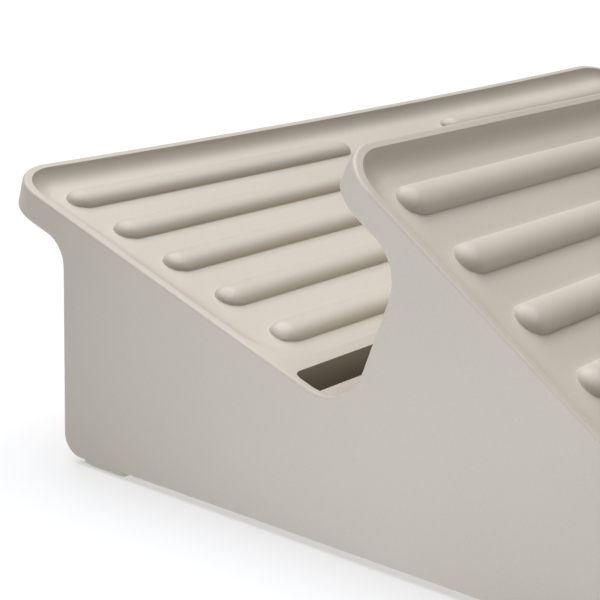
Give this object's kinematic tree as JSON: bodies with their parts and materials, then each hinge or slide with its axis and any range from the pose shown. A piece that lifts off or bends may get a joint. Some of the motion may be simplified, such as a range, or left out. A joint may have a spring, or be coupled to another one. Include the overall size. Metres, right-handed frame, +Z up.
{
  "type": "dish drying rack",
  "caption": "Two-tier sloped dish drying rack: ribbed drying decks with drain slots in a one-piece shell, on padded feet, over a slide-out drip tray",
  "frame": {"origin": "middle of the rack's footprint, on the surface it stands on", "axes": "+X to the front, where the drip tray slides out; +Y to the right-hand side seen from the front; +Z up"},
  "size_m": [0.3106, 0.414, 0.1281],
  "materials": {
    "shell": "fine matt moulded plastic, warm stone grey",
    "tray": "fine matt moulded plastic, warm stone grey",
    "pad": "dull dark grey rubber"
  },
  "bodies": {
    "rack": {"outer_shell": "shell", "rear_deck": "shell", "front_deck": "shell", "rear_centre_web": "shell", "front_centre_web": "shell", "left_tray_runner": "shell", "right_tray_runner": "shell", "rear_left_foot_pad": "pad", "rear_right_foot_pad": "pad", "front_left_foot_pad": "pad", "front_right_foot_pad": "pad"},
    "tray": {"drip_tray": "tray"}
  },
  "joints": [
    {"name": "tray_slide", "type": "slide", "parent": "rack", "child": "tray", "axis": [1, 0, 0], "range_m": [0, 0.2]}
  ]
}
